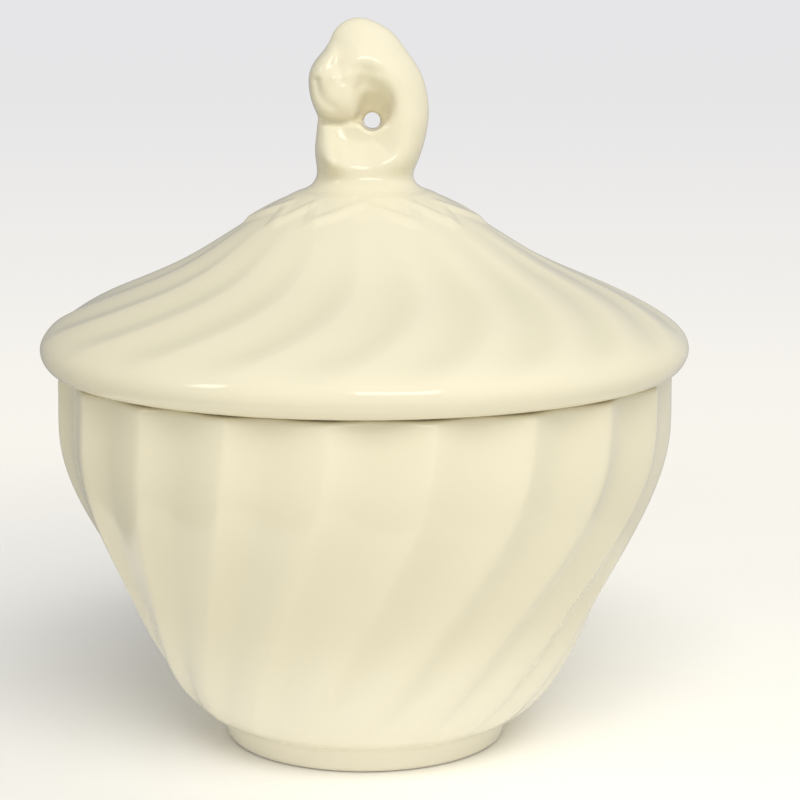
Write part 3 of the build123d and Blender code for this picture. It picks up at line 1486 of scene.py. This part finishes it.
    def _stump(self, x: Array, depth: Array, z: Array) -> Array:
        """Measure how far points lie outside the blunt column that flares into the crown.

        Args:
            x: Places of the points across the pot.
            depth: Their distances from the middle plane.
            z: Their heights.

        Returns:
            The distance of each, negative inside.
        """
        half_width = smooth_values(z, self.stump_heights, self.stump_widths)
        half_depth = smooth_values(z, self.stump_heights, self.stump_depths)
        square = np.interp(z, self.square_heights, self.square_powers)
        level = (np.abs(x / half_width) ** square + (depth / half_depth) ** square) ** (1 / square)
        return smooth_cut((level - 1) * half_depth, self.stump_top - z, self.stump_top_blend)

    def _relief(self, x: Array, z: Array) -> Array:
        """Measure the shallow grooves that are pressed into the curl, with a raised eye.

        Args:
            x: Places of the points across the pot.
            z: Their heights.

        Returns:
            The depth at each point, negative on the eye.
        """
        eye_x, eye_z = self.eye_middle
        from_eye = np.hypot(x - eye_x, z - eye_z) / self.eye_radius
        relief = -self.eye_rise * np.exp(-(from_eye**2))
        for groove in self.grooves:
            relief = relief + groove.relief(x, z)
        return relief

    def _slope(self, places: Array) -> tuple[Array, Array]:
        """Measure points near the surface.

        Args:
            places: One row for each point.

        Returns:
            The distance of each, and the direction in which it grows.
        """
        here = self.distance(*places.T)
        shifts = self.nudge * np.eye(3)
        growth = [
            self.distance(*(places + shift).T) - self.distance(*(places - shift).T)
            for shift in shifts
        ]
        return here, np.stack(growth, axis=1) / (2 * self.nudge)

    def _settle(self, places: Array) -> Array:
        """Move points of the rough mesh on to the true surface.

        Args:
            places: One row for each point.

        Returns:
            The places that they move to.
        """
        for _ in range(self.settle_rounds):
            here, direction = self._slope(places)
            steepness = np.maximum((direction**2).sum(axis=1), self.least_steepness)
            step = np.clip(here / steepness, -self.voxel, self.voxel)
            places = places - direction * step[:, None]
        return places

    def _surface(self) -> tuple[Array, Array]:
        """Find the surface on a grid of distances over the front half, mirrored to the back.

        Returns:
            The points, in millimetres, and the four points of each face.
        """
        low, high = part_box("finial")
        margin = self.band * self.voxel
        start = np.array(low) / MM - margin
        start[1] = 0.0
        counts = np.ceil((np.array(high) / MM + margin - start) / self.voxel).astype(int)
        axes = [first + self.voxel * np.arange(count) for first, count in zip(start, counts)]
        half = self.distance(*np.meshgrid(*axes, indexing="ij", sparse=True))
        field = np.concatenate([half[:, :0:-1], half], axis=1).astype(np.float32)
        grid = openvdb.FloatGrid(margin)
        grid.copyFromArray(field)
        points, _, quads = grid.convertToPolygons()
        corner = np.array((axes[0][0], -axes[1][-1], axes[2][0]))
        return self._settle(corner + points * self.voxel), quads

    def _cut_seat(self, mesh: bpy.types.Mesh) -> None:
        """Cut the finial off flat where it sits on the crown, and close the cut.

        Args:
            mesh: The finial, in metres.
        """
        work = bmesh.new()
        work.from_mesh(mesh)
        seat = Vector((0.0, 0.0, self.seat_height * MM))
        everything = work.verts[:] + work.edges[:] + work.faces[:]
        bmesh.ops.bisect_plane(
            work, geom=everything, plane_co=seat, plane_no=(0, 0, 1), clear_inner=True
        )
        rim = [edge for edge in work.edges if edge.is_boundary]
        bmesh.ops.contextual_create(work, geom=rim)
        for edge in rim:
            edge.smooth = False
        write_closed(work, mesh)

    def _mark_hollows(self, mesh: bpy.types.Mesh) -> None:
        """Note at each point how far it lies in a hollow, where glaze gathers and shade is painted.

        Args:
            mesh: The finial, in metres.
        """
        places = read_points(mesh)
        _, direction = self._slope(places)
        direction /= np.maximum(np.linalg.norm(direction, axis=1), LEAST_SLOPE)[:, None]
        free = self.distance(*(places + direction * self.feeler).T)
        # Clay close by darkens the glaze: gathered glaze, and painted shade in the funnel and
        # creases.
        hollow = np.clip((self.feeler - free) / self.feeler * self.pooling_and_shade, 0.0, 1.0)
        store_mark(mesh, Mark.HOLLOW, hollow)

    def build(self, glaze: bpy.types.Material) -> bpy.types.Object:
        """Make the finial.

        Args:
            glaze: The material that it wears.

        Returns:
            The finial, riding on the lid's body in place of the CAD node.
        """
        points, quads = self._surface()
        mesh = bpy.data.meshes.new("scroll_finial")
        mesh.from_pydata((points * MM).tolist(), [], quads.tolist())
        self._cut_seat(mesh)
        self._mark_hollows(mesh)
        mesh.materials.append(glaze)
        return place_piece(add_object("scroll_finial", mesh), Body.LID, "finial")


@dataclass(frozen=True)
class SoftBox:
    """A soft lamp that faces the pot.

    Attributes:
        name: Name of the lamp.
        azimuth: Where it stands, from the front towards the right, in degrees.
        elevation: How high it stands over the pot, in degrees.
        width: Its width.
        height: Its height.
        power: Its light, in watts.
        mirrored: Whether the glaze shows it as a highlight.
        distance: How far it is from the pot.
    """

    name: str
    azimuth: float
    elevation: float
    width: float
    height: float
    power: float
    mirrored: bool = True
    distance: float = 900.0

    def place(self, target: Vector) -> None:
        """Set the lamp up.

        Args:
            target: The point that it faces.
        """
        lamp = bpy.data.lights.new(self.name, "AREA")
        lamp.shape = "RECTANGLE"
        lamp.size = self.width * MM
        lamp.size_y = self.height * MM
        lamp.energy = self.power
        turn = radians(self.azimuth)
        lift = radians(self.elevation)
        out = Vector((sin(turn) * cos(lift), -cos(turn) * cos(lift), sin(lift)))
        stand = add_object(self.name, lamp)
        stand.location = target + out * self.distance * MM
        stand.rotation_euler = (-out).to_track_quat("-Z", "Y").to_euler()
        stand.visible_glossy = self.mirrored


@dataclass
class Studio:
    """White floor, soft light and the camera of the photograph.

    Attributes:
        camera_place: Where the camera stands.
        camera_tilt: How far it looks down, in degrees.
        lens: Focal length.
        sensor_width: Width of the picture in the camera.
        camera_clip: Nearest and farthest distance that it sees.
        floor_radius: Size of the round floor.
        floor_segments: Straight edges round the floor.
        floor_roughness: Roughness of its paper.
        floor_fade: Distances from the pot between which the floor gives way to the backdrop.
        mirror_fade: Distances between which it is lost from the glaze's reflections.
        paper: Colour of the floor as it lights the pot.
        paper_seen_left: Colour of the floor as the camera sees it, on the left.
        paper_seen_right_painted_light: The same on the right, brightened with painted light that
            washes out shadows.
        painted_light_turn: Places across the floor between which left gives way to the painted light
            on the right.
        lamps: The lamps.
        lamp_target: Height that the lamps face.
        ambient: Light from all round.
        room_left: What the glaze mirrors on the left.
        room_right: What it mirrors on the right.
        room_turn: Directions between which left gives way to right, -1 to 1.
        backdrop_high: Colour of the backdrop at the top.
        backdrop_low: Its colour at the floor.
        backdrop_rise: Directions between which low gives way to high, -1 to 1.
    """

    camera_place: Triple = (5.45, -368.35, 120.64)
    camera_tilt: float = 10.351
    lens: float = 107.94
    sensor_width: float = 36.0
    camera_clip: Pair = (10.0, 50000.0)
    floor_radius: float = 1200.0
    floor_segments: int = 64
    floor_roughness: float = 0.6
    floor_fade: Pair = (70.0, 270.0)
    mirror_fade: Pair = (84.0, 100.0)
    paper: Triple = (0.99, 0.975, 0.93)
    paper_seen_left: Triple = (0.99, 0.975, 0.93)
    paper_seen_right_painted_light: Triple = (1.14, 1.11, 1.02)
    painted_light_turn: Pair = (-20.0, 50.0)
    lamps: tuple[SoftBox, ...] = (
        SoftBox("front_box", azimuth=12.0, elevation=28.0, width=400.0, height=220.0, power=1.0),
        SoftBox("left_box", azimuth=-58.0, elevation=30.0, width=160.0, height=220.0, power=0.4),
        SoftBox(
            "key_box",
            azimuth=12.0,
            elevation=50.0,
            width=600.0,
            height=400.0,
            power=4.5,
            mirrored=False,
        ),
        SoftBox(
            "right_box",
            azimuth=95.0,
            elevation=55.0,
            width=500.0,
            height=500.0,
            power=0.5,
            mirrored=False,
        ),
    )
    lamp_target: float = 55.0
    ambient: Triple = (0.46, 0.465, 0.47)
    room_left: Triple = (0.35, 0.35, 0.35)
    room_right: Triple = (0.7, 0.7, 0.69)
    room_turn: Pair = (-0.2, 0.7)
    backdrop_high: Triple = (0.79, 0.785, 0.80)
    backdrop_low: Triple = (0.96, 0.93, 0.86)
    backdrop_rise: Pair = (-0.23, -0.02)

    def build(self) -> None:
        """Set up the floor, the lamps, the world and the camera."""
        self._floor()
        target = Vector((0.0, 0.0, self.lamp_target * MM))
        for lamp in self.lamps:
            lamp.place(target)
        self._world()
        self._camera()
        bpy.context.scene.view_settings.view_transform = "Standard"

    def _floor(self) -> None:
        """Lay a wide white floor."""
        mesh = bpy.data.meshes.new("floor")
        work = bmesh.new()
        bmesh.ops.create_circle(
            work, cap_ends=True, radius=self.floor_radius * MM, segments=self.floor_segments
        )
        work.to_mesh(mesh)
        work.free()
        mesh.materials.append(self._white_paper())
        floor = add_object("floor", mesh)

    def _white_paper(self) -> bpy.types.Material:
        """Build the floor's paper, which fades into the backdrop and is painted lighter on the right.

        Returns:
            The material.
        """
        made = bpy.data.materials.new("white_paper")
        made.use_nodes = True
        graph = Graph(made.node_tree)
        ray = graph.node("ShaderNodeLightPath")
        seen = graph.out(ray, "Is Camera Ray")
        mirrored = graph.out(ray, "Is Glossy Ray")
        place = graph.node("ShaderNodeTexCoord").outputs["Object"]
        # The camera sees the floor's right side lifted by painted light, which washes out the shadows
        # there.
        turn = graph.step(graph.part(place, "X") / MM, self.painted_light_turn)
        seen_with_painted_light = graph.blend(turn, self.paper_seen_left, self.paper_seen_right_painted_light)
        colour = graph.blend(seen, self.paper, seen_with_painted_light)
        shader = graph.node(
            "ShaderNodeBsdfPrincipled",
            inputs={"Base Color": colour, "Roughness": self.floor_roughness},
        )
        length = graph.node("ShaderNodeVectorMath", {"operation": "LENGTH"}, {0: place})
        away = graph.out(length, "Value") / MM
        fade = graph.step(away, self.floor_fade)
        mirror_fade = graph.step(away, self.mirror_fade)
        mixed = graph.node(
            "ShaderNodeMixShader",
            inputs={
                0: fade * seen + mirror_fade * mirrored,
                1: shader.outputs["BSDF"],
                2: graph.node("ShaderNodeBsdfTransparent").outputs["BSDF"],
            },
        )
        graph.node("ShaderNodeOutputMaterial", inputs={"Surface": mixed.outputs["Shader"]})
        return made

    def _world(self) -> None:
        """Set even pale light all round, with a backdrop for the camera and a room to mirror."""
        world = bpy.data.worlds.new("studio")
        world.use_nodes = True
        graph = Graph(world.node_tree)
        view = graph.node("ShaderNodeTexCoord").outputs["Generated"]
        rise = graph.step(graph.part(view, "Z"), self.backdrop_rise)
        backdrop = graph.blend(rise, self.backdrop_low, self.backdrop_high)
        turn = graph.step(graph.part(view, "X"), self.room_turn)
        room = graph.blend(turn, self.room_left, self.room_right)
        ray = graph.node("ShaderNodeLightPath")
        around = graph.blend(graph.out(ray, "Is Glossy Ray"), self.ambient, room)
        colour = graph.blend(graph.out(ray, "Is Camera Ray"), around, backdrop)
        light = graph.node("ShaderNodeBackground", inputs={"Color": colour})
        graph.node("ShaderNodeOutputWorld", inputs={"Surface": light.outputs[0]})
        bpy.context.scene.world = world

    def _camera(self) -> None:
        """Stand the camera at the photograph's viewpoint."""
        camera = bpy.data.cameras.new("camera")
        camera.lens = self.lens
        camera.sensor_width = self.sensor_width
        nearest, farthest = self.camera_clip
        camera.clip_start = nearest * MM
        camera.clip_end = farthest * MM
        stand = add_object("camera", camera)
        stand.location = Vector(self.camera_place) * MM
        stand.rotation_euler = (radians(90.0 - self.camera_tilt), 0.0, 0.0)
        bpy.context.scene.camera = stand


def main() -> None:
    """Build the pot, the lid and the finial, and the studio round them."""
    logging.basicConfig(level=logging.INFO, format="%(name)s: %(message)s")
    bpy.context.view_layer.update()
    glaze = CreamGlaze().material()
    turning = FlutedTurning()
    pieces = (
        Pot().build(turning, glaze),
        Lid().build(turning, glaze),
        ScrollFinial().build(glaze),
    )
    for piece in pieces:
        triangles = sum(len(face.vertices) - 2 for face in piece.data.polygons)
        LOG.info("%s: %d triangles", piece.name, triangles)
    Studio().build()


if __name__ == "__main__":
    main()
